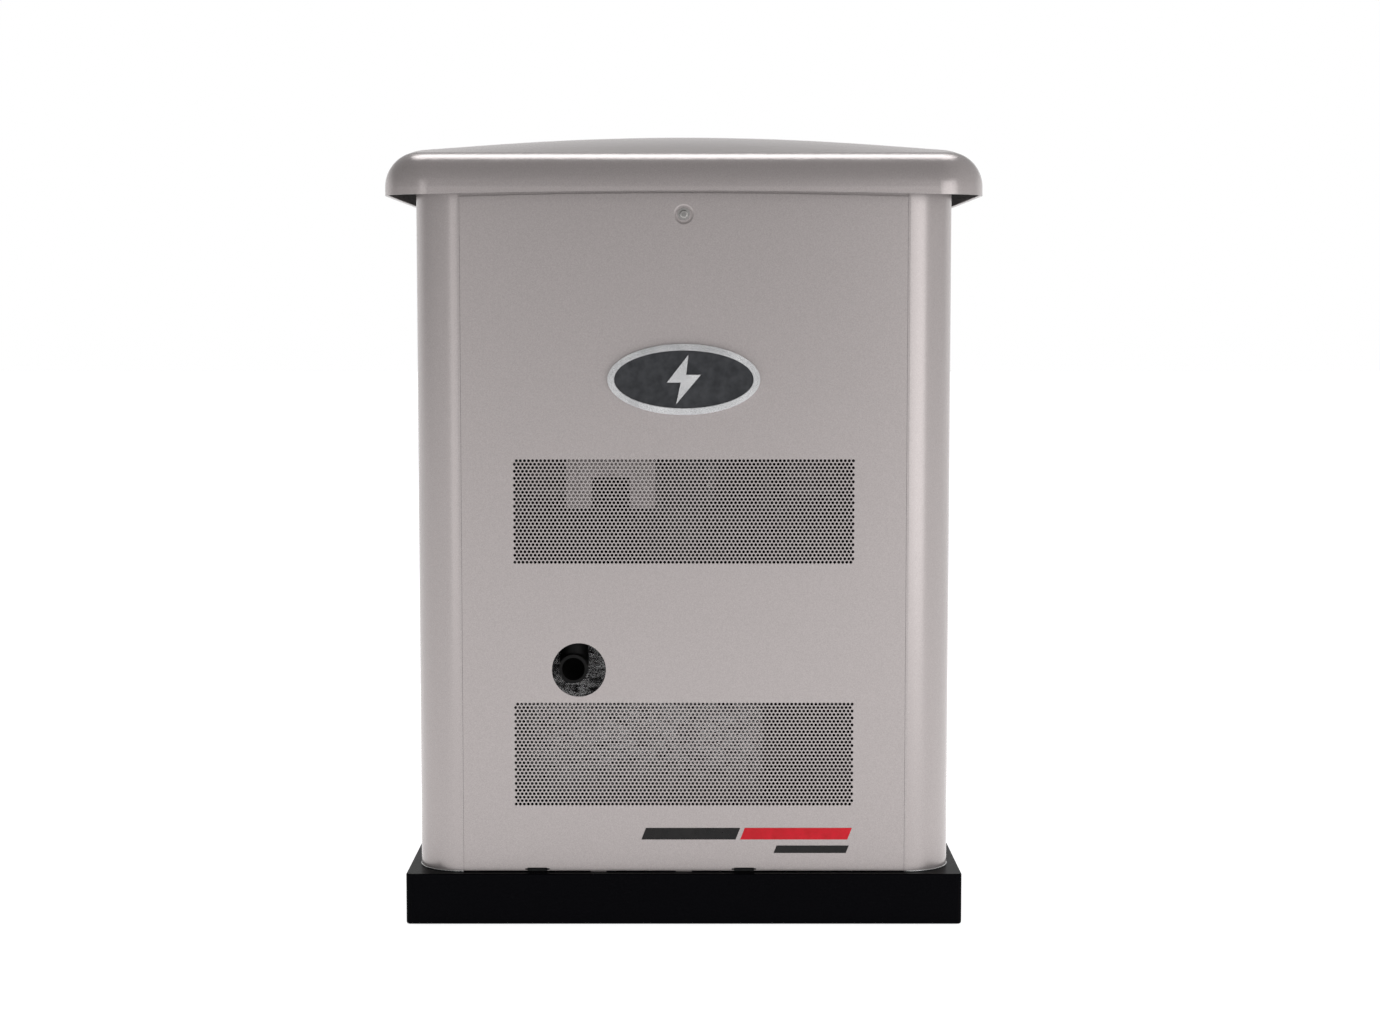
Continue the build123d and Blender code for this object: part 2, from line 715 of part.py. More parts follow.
with BuildPart() as gas_mixer:
    add(block((-30, 30), (-195, -135), (492, 598)))
    fillet(gas_mixer.edges().filter_by(Axis.Z), 8)
    with Locations((0, -165, 470)):
        Cylinder(24, 22, align=(Align.CENTER, Align.CENTER, Align.MIN))
    for side in (-1, 1):
        add(tube([(side * 6, -165, 474), (side * 6, -165, 452), (side * 111, -146, 446)], 18, 15))
save(gas_mixer.part, "gas_mixer")

with BuildPart() as throttle_lever:
    with BuildSketch(Plane.YZ.offset(32)):
        with Locations((-165, 570)):
            Circle(9)
        with Locations((-185, 570)):
            Rectangle(40, 9)
        with Locations((-205, 570)):
            Circle(6)
            Circle(2, mode=Mode.SUBTRACT)
    extrude(amount=3)
save(throttle_lever.part, "throttle_lever")

with BuildPart() as air_cleaner:
    with Locations((0, -165, 598)):
        Cylinder(70, 14, align=(Align.CENTER, Align.CENTER, Align.MIN))
    with Locations((0, -165, 612)):
        Cylinder(66, 78, align=(Align.CENTER, Align.CENTER, Align.MIN))
    fillet(air_cleaner.edges().group_by(Axis.Z)[-1], 12)
    with BuildSketch(Plane.XY.offset(616)):
        with Locations((0, -165)):
            with PolarLocations(66, 30):
                Rectangle(5, 5)
    extrude(amount=55, mode=Mode.SUBTRACT)
    with Locations((0, -165, 690)):
        Cylinder(6, 8, align=(Align.CENTER, Align.CENTER, Align.MIN))
save(air_cleaner.part, "air_cleaner")

with BuildPart() as air_cleaner_knob:
    with BuildSketch(Plane.XY.offset(698.5)):
        with Locations((0, -165)):
            Circle(17)
            with PolarLocations(17, 6):
                Circle(4)
    extrude(amount=16)
    fillet(air_cleaner_knob.edges().group_by(Axis.Z)[-1], 1.5)
save(air_cleaner_knob.part, "air_cleaner_knob")

with BuildPart() as oil_filter:
    with BuildSketch(Plane.XZ.offset(-(CRANK_Y + 90))):
        with Locations((-45, 420)):
            Circle(30)
    extrude(amount=-8)
    with BuildSketch(Plane.XZ.offset(-(CRANK_Y + 98))):
        with Locations((-45, 420)):
            Circle(37)
    extrude(amount=-76)
    fillet(oil_filter.edges().sort_by(Axis.Y)[-1], 8)
save(oil_filter.part, "oil_filter")

with BuildPart() as oil_fill_tube:
    add(tube([(60, CRANK_Y + 90.5, 400), (60, 225, 400), (60, 225, 690)], 24, 10, 7.5))
save(oil_fill_tube.part, "oil_fill_tube")

with BuildPart() as dipstick:
    with Locations((60, 225, 440)):
        Cylinder(2.5, 252, align=(Align.CENTER, Align.CENTER, Align.MIN))
    with Locations((60, 225, 691)):
        Cylinder(13, 14, align=(Align.CENTER, Align.CENTER, Align.MIN))
    with BuildSketch(Plane.XZ.offset(-227)):
        with Locations((60, 714)):
            Circle(14)
            Circle(8, mode=Mode.SUBTRACT)
    extrude(amount=4)
save(dipstick.part, "dipstick")

# ---------------------------------------------------------------- exhaust
with BuildPart() as exhaust_manifold:
    add(tube([(-165, -100, 385.8), (-165, -100, MUFFLER_Z), (-165, -127, MUFFLER_Z)], 26, 16, 13.5))
    add(tube([(165, -100, 385.8), (165, -100, MUFFLER_Z), (165, MUFFLER_Y, MUFFLER_Z), (72, MUFFLER_Y, MUFFLER_Z)],
             30, 16, 13.5))
save(exhaust_manifold.part, "exhaust_manifold")

with BuildPart() as muffler:
    with BuildSketch(Plane.YZ.offset(MUFFLER_X - MUFFLER_L / 2)):
        with Locations((MUFFLER_Y, MUFFLER_Z)):
            Circle(MUFFLER_R)
    extrude(amount=MUFFLER_L)
    fillet(muffler.edges().filter_by(GeomType.CIRCLE), 10)
    for seam_x in (MUFFLER_X - MUFFLER_L / 2 + 14, MUFFLER_X + MUFFLER_L / 2 - 18):
        with BuildSketch(Plane.YZ.offset(seam_x)):
            with Locations((MUFFLER_Y, MUFFLER_Z)):
                Circle(MUFFLER_R + 2.5)
        extrude(amount=4)
    for leg_x in (-170, 20):
        add(block((leg_x, leg_x + 30), (MUFFLER_Y - 40, MUFFLER_Y - 37), (FLOOR, MUFFLER_Z - 40)))
        add(block((leg_x, leg_x + 30), (MUFFLER_Y + 37, MUFFLER_Y + 40), (FLOOR, MUFFLER_Z - 40)))
    add(block((-182, -148), (-132, -127), (MUFFLER_Z - 17, MUFFLER_Z + 17)))
save(muffler.part, "muffler")

with BuildPart() as outlet_elbow:
    add(tube([(OUTLET_X, MUFFLER_Y, MUFFLER_Z + MUFFLER_R + 2.6), (OUTLET_X, MUFFLER_Y, 433.5),
              (OUTLET_X, MUFFLER_Y - 49, 433.5)], BEND - 0.2, 19, 15))
    add(tube([(OUTLET_X, MUFFLER_Y - 48.8, 433.5), (OUTLET_X, MUFFLER_Y - 97, 433.5),
              (OUTLET_X, MUFFLER_Y - 97, 400)], BEND - 20.5, 19, 15))
    add(tube([(OUTLET_X, MUFFLER_Y - 97, 400), (OUTLET_X, MUFFLER_Y - 97, EXHAUST_Z),
              (OUTLET_X, MUFFLER_Y - 125.4, EXHAUST_Z)], 20.4, 19, 15))
save(outlet_elbow.part, "outlet_elbow")

with BuildPart() as insulation_wrap:
    add(block((-240, 105), (-268, -118), (FLOOR, 378)))
    add(block((-234, 99), (-262, -124), (FLOOR, 372)), mode=Mode.SUBTRACT)
    with BuildSketch(Plane.XZ.offset(110)):
        with Locations((-165, MUFFLER_Z)):
            Rectangle(44, 44)
    extrude(amount=20, mode=Mode.SUBTRACT)
    with BuildSketch(Plane.YZ.offset(95)):
        with Locations((MUFFLER_Y, MUFFLER_Z)):
            Circle(20)
    extrude(amount=20, mode=Mode.SUBTRACT)
    with BuildSketch(Plane.XY.offset(360)):
        with Locations((OUTLET_X, MUFFLER_Y)):
            Circle(24)
    extrude(amount=30, mode=Mode.SUBTRACT)
save(insulation_wrap.part, "insulation_wrap")

# ---------------------------------------------------------------- fuel
with BuildPart() as gas_regulator:
    with BuildSketch(Plane.XZ.offset(-180)):
        with Locations((240, 262)):
            Circle(58)
    extrude(amount=-22)
    with BuildSketch(Plane.XZ.offset(-200)):
        with Locations((240, 262)):
            Circle(64)
            with PolarLocations(60, 8):
                Circle(7)
    extrude(amount=-6)
    with BuildSketch(Plane.XZ.offset(-206)):
        with Locations((240, 262)):
            Circle(50)
    extrude(amount=-22)
    with Locations((240, 205, 186)):
        Cylinder(17, 30, align=(Align.CENTER, Align.CENTER, Align.MIN))
    with Locations((240, 205, 310)):
        Cylinder(14, 24, align=(Align.CENTER, Align.CENTER, Align.MIN))
    add(block((286, 344), (196, 202), (FLOOR, 290)))
save(gas_regulator.part, "gas_regulator")

with BuildPart() as fuel_pipe:
    add(tube([(240, 356, 150), (240, 205, 150), (240, 205, 185.5)], 24, 13.35, 10.4))
    with BuildSketch(Plane.XZ.offset(-310)):
        with Locations((240, 150)):
            RegularPolygon(20, 6)
            Circle(12, mode=Mode.SUBTRACT)
    extrude(amount=46)
    with Locations((240, 287, 165)):
        Cylinder(8, 16, align=(Align.CENTER, Align.CENTER, Align.MIN))
save(fuel_pipe.part, "fuel_pipe")

with BuildPart() as fuel_valve_lever:
    with Locations((240, 287, 181.5)):
        Cylinder(11, 4, align=(Align.CENTER, Align.CENTER, Align.MIN))
    add(block((232, 248), (235, 287), (181.5, 184.5)))
save(fuel_valve_lever.part, "fuel_valve_lever")

with BuildPart() as gas_hose:
    add(tube([(240, 205, 334.5), (240, 205, 655), (112, -165, 655), (112, -165, 522), (30.5, -165, 522)],
             34, 10, 7))
save(gas_hose.part, "gas_hose")

# ---------------------------------------------------------------- electrical
with BuildPart() as controller_box:
    add(block((40, 290), (-296, -180), (700, 928)))
    fillet(controller_box.edges().filter_by(Axis.Z), 6)
    add(block((42.5, 287.5), (-293.5, -182.5), (702.5, 925.5)), mode=Mode.SUBTRACT)
    add(block((64, 136), (-256, -210), (920, 930)), mode=Mode.SUBTRACT)
    for button_x, name in BUTTONS:
        with Locations((button_x, -233, 927)):
            Cylinder(8.3, 10, mode=Mode.SUBTRACT)
    add(block((236.5, 263.5), (-252, -214), (920, 930)), mode=Mode.SUBTRACT)
    for leg_x in (70, 240):
        add(block((leg_x, leg_x + 24), (-303.5, -301), (632, 760)))
        add(block((leg_x, leg_x + 24), (-303.5, -296), (757, 760)))
        add(block((leg_x, leg_x + 24), (-303.5, -296), (705, 708)))
save(controller_box.part, "controller_box")

with BuildPart() as display_window:
    add(block((64.2, 135.8), (-255.8, -210.2), (924, 929)))
save(display_window.part, "display_window")

for button_x, name in BUTTONS:
    with BuildPart() as button:
        with Locations((button_x, -233, 922)):
            Cylinder(8, 10.5, align=(Align.CENTER, Align.CENTER, Align.MIN))
        fillet(button.edges().group_by(Axis.Z)[-1], 1)
    save(button.part, name)

with BuildPart() as main_breaker:
    add(block((237, 263), (-251.5, -214.5), (870, 931)))
    add(block((244, 256), (-246, -220), (915, 940)), mode=Mode.SUBTRACT)
save(main_breaker.part, "main_breaker")

with BuildPart() as breaker_toggle:
    with BuildSketch(Plane.YZ.offset(245)):
        with Locations((-233, 926)):
            Circle(8)
        with Locations((-233, 937)):
            Rectangle(7, 20)
    extrude(amount=10)
save(breaker_toggle.part, "breaker_toggle")

with BuildPart() as battery:
    add(block((-325, -195), (60, 250), (FLOOR, 228)))
    fillet(battery.edges().filter_by(Axis.Z), 5)
    add(block((-327, -193), (58, 252), (222, 238)))
    for post_x in (-290, -230):
        with Locations((post_x, 85, 238)):
            Cylinder(8, 14, align=(Align.CENTER, Align.CENTER, Align.MIN))
save(battery.part, "battery")

with BuildPart() as battery_cables:
    add(tube([(-230, 85, 252.5), (-230, 85, 345), (-130, 262, 345), (118, 262, 345), (150, CRANK_Y, 345),
              (150, CRANK_Y, 377.5)], 20, 5))
    add(tube([(-290, 85, 252.5), (-290, 85, 325), (-95.5, 85, 325)], 25, 5))
save(battery_cables.part, "battery_cables")

with BuildPart() as conduit_gland:
    with BuildSketch(Plane.XZ.offset(-300)):
        with Locations((-215, 150)):
            Circle(11.6)
    extrude(amount=-54)
    for nut_y, nut_l in ((314, 8), (326.2, 10)):
        with BuildSketch(Plane.XZ.offset(-nut_y)):
            with Locations((-215, 150)):
                RegularPolygon(18, 6)
        extrude(amount=-nut_l)
    with BuildSketch(Plane.XZ.offset(-299)):
        with Locations((-215, 150)):
            Circle(8)
    extrude(amount=-60, mode=Mode.SUBTRACT)
save(conduit_gland.part, "conduit_gland")
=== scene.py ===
import json
import math

import bmesh
import bpy
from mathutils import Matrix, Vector, noise


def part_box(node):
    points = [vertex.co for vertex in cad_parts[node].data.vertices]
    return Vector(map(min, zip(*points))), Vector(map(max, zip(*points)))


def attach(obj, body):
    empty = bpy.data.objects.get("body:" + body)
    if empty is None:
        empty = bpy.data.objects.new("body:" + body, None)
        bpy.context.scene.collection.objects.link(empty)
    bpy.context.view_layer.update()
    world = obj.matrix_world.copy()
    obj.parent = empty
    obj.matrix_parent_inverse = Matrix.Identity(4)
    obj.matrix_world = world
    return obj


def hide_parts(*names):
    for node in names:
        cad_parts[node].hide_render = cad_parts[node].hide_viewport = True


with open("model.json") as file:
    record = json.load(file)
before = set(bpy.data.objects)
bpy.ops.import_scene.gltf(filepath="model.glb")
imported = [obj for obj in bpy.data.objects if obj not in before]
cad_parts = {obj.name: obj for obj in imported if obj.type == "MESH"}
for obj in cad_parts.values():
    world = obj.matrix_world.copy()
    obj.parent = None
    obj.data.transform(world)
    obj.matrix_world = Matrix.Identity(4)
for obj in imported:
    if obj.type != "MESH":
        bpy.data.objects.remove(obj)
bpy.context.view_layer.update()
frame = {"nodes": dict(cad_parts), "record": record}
NODES = frame["nodes"]

# ---------------------------------------------------------------- camera
CAMERA_AT = (0.008, -3.566, 0.802)
CAMERA_DOWN_DEG = 4.58
LENS_MM = 65.1


def make_camera():
    data = bpy.data.cameras.new("camera")
    data.sensor_width = 36.0
    data.lens = LENS_MM
    data.clip_end = 100.0
    cam = bpy.data.objects.new("camera", data)
    bpy.context.scene.collection.objects.link(cam)
    cam.location = CAMERA_AT
    cam.rotation_euler = (math.radians(90 - CAMERA_DOWN_DEG), 0, 0)
    bpy.context.scene.camera = cam


make_camera()


# ---------------------------------------------------------------- material tools
def srgb(r, g, b):
    """Colour given as 0-255 display values, as linear numbers."""
    out = []
    for v in (r, g, b):
        v = v / 255
        out.append(v / 12.92 if v <= 0.04045 else ((v + 0.055) / 1.055) ** 2.4)
    return (out[0], out[1], out[2], 1.0)


class Mat:
    """A node material on object coordinates, built up step by step."""

    def __init__(self, name, rough=0.5, metal=0.0, coat=0.0, coat_rough=0.1, spec=0.5):
        self.m = bpy.data.materials.new(name)
        self.m.use_nodes = True
        self.n = self.m.node_tree.nodes
        self.l = self.m.node_tree.links
        self.b = self.n["Principled BSDF"]
        self.b.inputs["Roughness"].default_value = rough
        self.b.inputs["Metallic"].default_value = metal
        self.b.inputs["Coat Weight"].default_value = coat
        self.b.inputs["Coat Roughness"].default_value = coat_rough
        self.b.inputs["Specular IOR Level"].default_value = spec
        self.co = self.n.new("ShaderNodeTexCoord").outputs["Object"]
        self.height = None

    def noise(self, scale, detail=3, rough=0.5, stretch=(1, 1, 1)):
        mp = self.n.new("ShaderNodeMapping")
        mp.inputs["Scale"].default_value = stretch
        self.l.new(self.co, mp.inputs["Vector"])
        t = self.n.new("ShaderNodeTexNoise")
        t.inputs["Scale"].default_value = scale
        t.inputs["Detail"].default_value = detail
        t.inputs["Roughness"].default_value = rough
        self.l.new(mp.outputs["Vector"], t.inputs["Vector"])
        return t.outputs["Fac"]

    def voronoi(self, scale, feature="F1"):
        t = self.n.new("ShaderNodeTexVoronoi")
        t.feature = feature
        t.inputs["Scale"].default_value = scale
        self.l.new(self.co, t.inputs["Vector"])
        return t.outputs["Distance"]

    def wave(self, scale, axis="Z", distortion=0.0):
        t = self.n.new("ShaderNodeTexWave")
        t.bands_direction = axis
        t.inputs["Scale"].default_value = scale
        t.inputs["Distortion"].default_value = distortion
        self.l.new(self.co, t.inputs["Vector"])
        return t.outputs["Fac"]

    def ramp(self, fac, stops):
        r = self.n.new("ShaderNodeValToRGB")
        el = r.color_ramp.elements
        el[0].position, el[0].color = stops[0]
        el[1].position, el[1].color = stops[-1]
        for pos, col in stops[1:-1]:
            e = el.new(pos)
            e.color = col
        self.l.new(fac, r.inputs["Fac"])
        return r.outputs["Color"]

    def color(self, fac, stops):
        self.l.new(self.ramp(fac, stops), self.b.inputs["Base Color"])
        return self

    def roughness(self, fac, low, high):
        g = self.n.new("ShaderNodeMapRange")
        g.inputs["To Min"].default_value = low
        g.inputs["To Max"].default_value = high
        self.l.new(fac, g.inputs["Value"])
        self.l.new(g.outputs["Result"], self.b.inputs["Roughness"])
        return self

    def bump(self, fac, strength, distance):
        b = self.n.new("ShaderNodeBump")
        b.inputs["Strength"].default_value = strength
        b.inputs["Distance"].default_value = distance
        self.l.new(fac, b.inputs["Height"])
        if self.height is not None:
            self.l.new(self.height, b.inputs["Normal"])
        self.height = b.outputs["Normal"]
        self.l.new(self.height, self.b.inputs["Normal"])
        return self


def speckled(name, low, high, scale=60, rough=(0.4, 0.5), metal=0.0, coat=0.0, coat_rough=0.1,
             bump=(300, 0.15, 0.0004), wide=3.0, spec=0.5):
    """Colour that drifts between two tones, with matching roughness and a fine grain."""
    m = Mat(name, metal=metal, coat=coat, coat_rough=coat_rough, spec=spec)
    m.color(m.noise(scale, 4), [(0.35, low), (0.65, high)])
    m.roughness(m.noise(wide, 3), rough[0], rough[1])
    m.bump(m.noise(bump[0], 2), bump[1], bump[2])
    return m.m


PAINT_METAL = 0.45                # share of metal flake in the powder coat
PANEL_HALF = (0.293, 0.268)       # centres of the body's rounded corners
INNER_LIMIT = 0.05725             # distance out from those centres that lies between the two skins
DISH_LIMIT = 0.0535               # the same for the louvres and the dished fastener seat
ROOF_MIDDLE = (0, 0, 0.9)


def coat_with_painted_shade(m, paint, outer):
    """Powder coat where outer is 1; where it is 0, a dull dark colour painted in as the shade inside the
    enclosure.
    """
    # these dull dark tones are painted shade for the inside of the enclosure
    coat = m.ramp(m.noise(300, 3), [(0.3, srgb(26, 26, 27)), (0.7, srgb(38, 38, 39))])
    mix = m.n.new("ShaderNodeMix")
    mix.data_type = "RGBA"
    m.l.new(outer, mix.inputs["Factor"])
    m.l.new(coat, mix.inputs["A"])
    m.l.new(paint, mix.inputs["B"])
    m.l.new(mix.outputs["Result"], m.b.inputs["Base Color"])
    scaled = m.n.new("ShaderNodeMath")
    scaled.operation = "MULTIPLY"
    scaled.inputs[1].default_value = PAINT_METAL
    m.l.new(outer, scaled.inputs[0])
    m.l.new(scaled.outputs["Value"], m.b.inputs["Metallic"])


def body_paint(name="warm_grey_powder_coat", painted_shade_inside=False, face=""):
    """Satin powder coat with metal flake; when asked, inner faces get a dull dark colour instead, painted shade
    for the inside of the enclosure.
    """
    m = Mat(name, metal=PAINT_METAL)
    paint = m.ramp(m.noise(900, 3, 0.7), [(0.3, srgb(160, 153, 152)), (0.7, srgb(181, 174, 173))])
    m.roughness(m.noise(2.5, 2), 0.24, 0.28)
    m.bump(m.noise(420, 2, 0.6), 0.05, 0.0004)
    m.bump(m.noise(1500, 2, 0.5), 0.05, 0.0002)
    if not painted_shade_inside:
        m.l.new(paint, m.b.inputs["Base Color"])
        return m.m
    if face == "roof":
        # a face of the domed roof that points back at its middle is an inner one
        reach = m.n.new("ShaderNodeVectorMath")
        reach.operation = "SUBTRACT"
        reach.inputs[1].default_value = ROOF_MIDDLE
        m.l.new(m.co, reach.inputs[0])
        outer = m.n.new("ShaderNodeVectorMath")
        outer.operation = "DOT_PRODUCT"
        m.l.new(m.n.new("ShaderNodeTexCoord").outputs["Normal"], outer.inputs[0])
        m.l.new(reach.outputs["Vector"], outer.inputs[1])
        skin = m.n.new("ShaderNodeMath")
        skin.operation = "GREATER_THAN"
        skin.inputs[1].default_value = 0.0
        m.l.new(outer.outputs["Value"], skin.inputs[0])
        coat_with_painted_shade(m, paint, skin.outputs["Value"])
        return m.m
    # distance out from a rounded rectangle tells the outer skin from the inner one
    size = m.n.new("ShaderNodeVectorMath")
    size.operation = "ABSOLUTE"
    m.l.new(m.co, size.inputs[0])
    over = m.n.new("ShaderNodeVectorMath")
    over.operation = "SUBTRACT"
    over.inputs[1].default_value = (PANEL_HALF[0], PANEL_HALF[1], 10.0)
    m.l.new(size.outputs["Vector"], over.inputs[0])
    corner = m.n.new("ShaderNodeVectorMath")
    corner.operation = "MAXIMUM"
    corner.inputs[1].default_value = (0, 0, 0)
    m.l.new(over.outputs["Vector"], corner.inputs[0])
    away = m.n.new("ShaderNodeVectorMath")
    away.operation = "LENGTH"
    m.l.new(corner.outputs["Vector"], away.inputs[0])
    outer = m.n.new("ShaderNodeMath")
    outer.operation = "GREATER_THAN"
    outer.inputs[1].default_value = INNER_LIMIT
    m.l.new(away.outputs["Value"], outer.inputs[0])
    if face:
        # pressed louvres and the dished fastener seat leave the panel's plane,
        # so there the way a face points decides
        facing = m.n.new("ShaderNodeSeparateXYZ")
        m.l.new(m.n.new("ShaderNodeTexCoord").outputs["Normal"], facing.inputs["Vector"])
        outward = m.n.new("ShaderNodeMath")
        outward.operation = "GREATER_THAN" if face == "rear" else "LESS_THAN"
        outward.inputs[1].default_value = -0.2 if face == "rear" else 0.2
        m.l.new(facing.outputs["Y"], outward.inputs[0])
        both = m.n.new("ShaderNodeMath")
        both.operation = "MULTIPLY"
        m.l.new(outward.outputs["Value"], both.inputs[0])
        m.l.new(outer.outputs["Value"], both.inputs[1])
        outer.inputs[1].default_value = DISH_LIMIT
        outer = both
    coat_with_painted_shade(m, paint, outer.outputs["Value"])
    return m.m


def foil():
    """Aluminium foil facing: near black to white colour on noise, painted shade in creases and painted glints on
    ridges, darker towards the bottom and the left end.
    """
    m = Mat("crinkled_foil", metal=0.8)
    # near black to white on its own noise: painted shade and painted glints standing in for light on the crumples
    fine = m.ramp(m.noise(150, 5, 0.75, (0.45, 1, 1.5)),
                  [(0.4, srgb(36, 36, 38)), (0.47, srgb(190, 190, 192)), (0.52, srgb(253, 253, 254))])
    place = m.n.new("ShaderNodeSeparateXYZ")
    m.l.new(m.co, place.inputs["Vector"])
    # darker towards the bottom and the left end, in patches
    wander = m.noise(14, 3, 0.6)
    darkening = None
    for axis, low, high in (("Z", 0.14, 0.21), ("X", -0.25, -0.17)):
        fade = m.n.new("ShaderNodeMapRange")
        fade.inputs["From Min"].default_value = low
        fade.inputs["From Max"].default_value = high
        fade.inputs["To Min"].default_value = 0.12
        m.l.new(place.outputs[axis], fade.inputs["Value"])
        part = m.n.new("ShaderNodeMath")
        part.operation = "MULTIPLY"
        m.l.new(fade.outputs["Result"], part.inputs[0])
        if darkening is None:
            blot = m.n.new("ShaderNodeMapRange")
            blot.inputs["From Min"].default_value = 0.35
            blot.inputs["From Max"].default_value = 0.6
            blot.inputs["To Min"].default_value = 0.6
            m.l.new(wander, blot.inputs["Value"])
            darkening = blot.outputs["Result"]
        m.l.new(darkening, part.inputs[1])
        darkening = part.outputs["Value"]
    tone = m.n.new("ShaderNodeMix")
    tone.data_type = "RGBA"
    tone.inputs["A"].default_value = srgb(30, 29, 28)
    m.l.new(darkening, tone.inputs["Factor"])
    m.l.new(fine, tone.inputs["B"])
    m.l.new(tone.outputs["Result"], m.b.inputs["Base Color"])
    m.roughness(m.noise(60, 4), 0.12, 0.3)
    m.bump(m.noise(110, 5, 0.75, (0.7, 1, 1.4)), 1.0, 0.007)
    m.bump(m.voronoi(160, "DISTANCE_TO_EDGE"), 0.6, 0.002)
    return m.m


def brushed(name, low, high, rough=(0.25, 0.4), scale=400, stretch=(1, 1, 12)):
    """Bare metal with fine directional scratches."""
    m = Mat(name, metal=1.0)
    m.color(m.noise(25, 4), [(0.3, low), (0.7, high)])
    m.roughness(m.noise(scale, 3, 0.6, stretch), rough[0], rough[1])
    m.bump(m.noise(scale, 3, 0.6, stretch), 0.08, 0.0003)
    return m.m


def laminations():
    m = Mat("stacked_laminations", metal=0.9, rough=0.45)
    m.color(m.wave(180, "Z"), [(0.2, srgb(58, 58, 60)), (0.8, srgb(112, 112, 114))])
    m.bump(m.wave(180, "Z"), 0.5, 0.0005)
    return m.m


def copper():
    m = Mat("varnished_winding", metal=0.7, rough=0.3, coat=0.5)
    m.color(m.wave(150, "Z", 6), [(0.2, srgb(96, 44, 20)), (0.8, srgb(176, 98, 52))])
    m.bump(m.wave(150, "Z", 6), 0.6, 0.0008)
    return m.m


def cast_metal(name, low, high, metal=0.85):
    m = Mat(name, metal=metal)
    m.color(m.noise(30, 5), [(0.3, low), (0.7, high)])
    m.roughness(m.noise(12, 4), 0.42, 0.6)
    m.bump(m.noise(260, 4, 0.65), 0.4, 0.0007)
    return m.m


def heat_tint_with_painted_shade():
    m = Mat("heat_tinted_steel_painted_shade", metal=0.5)
    # heat tint, darkened well below the steel's own colour as painted shade inside the enclosure
    m.color(m.noise(9, 5), [(0.25, srgb(34, 29, 25)), (0.5, srgb(52, 44, 37)), (0.75, srgb(44, 40, 42))])
    m.roughness(m.noise(20, 4), 0.32, 0.55)
    m.bump(m.noise(200, 3), 0.15, 0.0004)
    return m.m


def pad_black():
    """Glossy black moulded composite."""
    m = Mat("black_composite", spec=0.02)
    m.color(m.noise(400, 3), [(0.3, srgb(3, 3, 5)), (0.7, srgb(8, 8, 11))])
    m.roughness(m.noise(14, 3), 0.22, 0.34)
    m.bump(m.noise(380, 3), 0.1, 0.0004)
    return m.m


def foam():
    m = Mat("open_cell_foam", rough=0.95)
    m.color(m.voronoi(260), [(0.1, srgb(14, 14, 15)), (0.8, srgb(44, 44, 46))])
    m.bump(m.voronoi(260), 0.8, 0.002)
    return m.m


def glass_dark():
    m = Mat("dark_display", coat=1.0, coat_rough=0.03)
    m.color(m.noise(60, 2), [(0.3, srgb(6, 16, 14)), (0.7, srgb(12, 30, 24))])
    m.roughness(m.noise(8, 2), 0.06, 0.12)
    return m.m


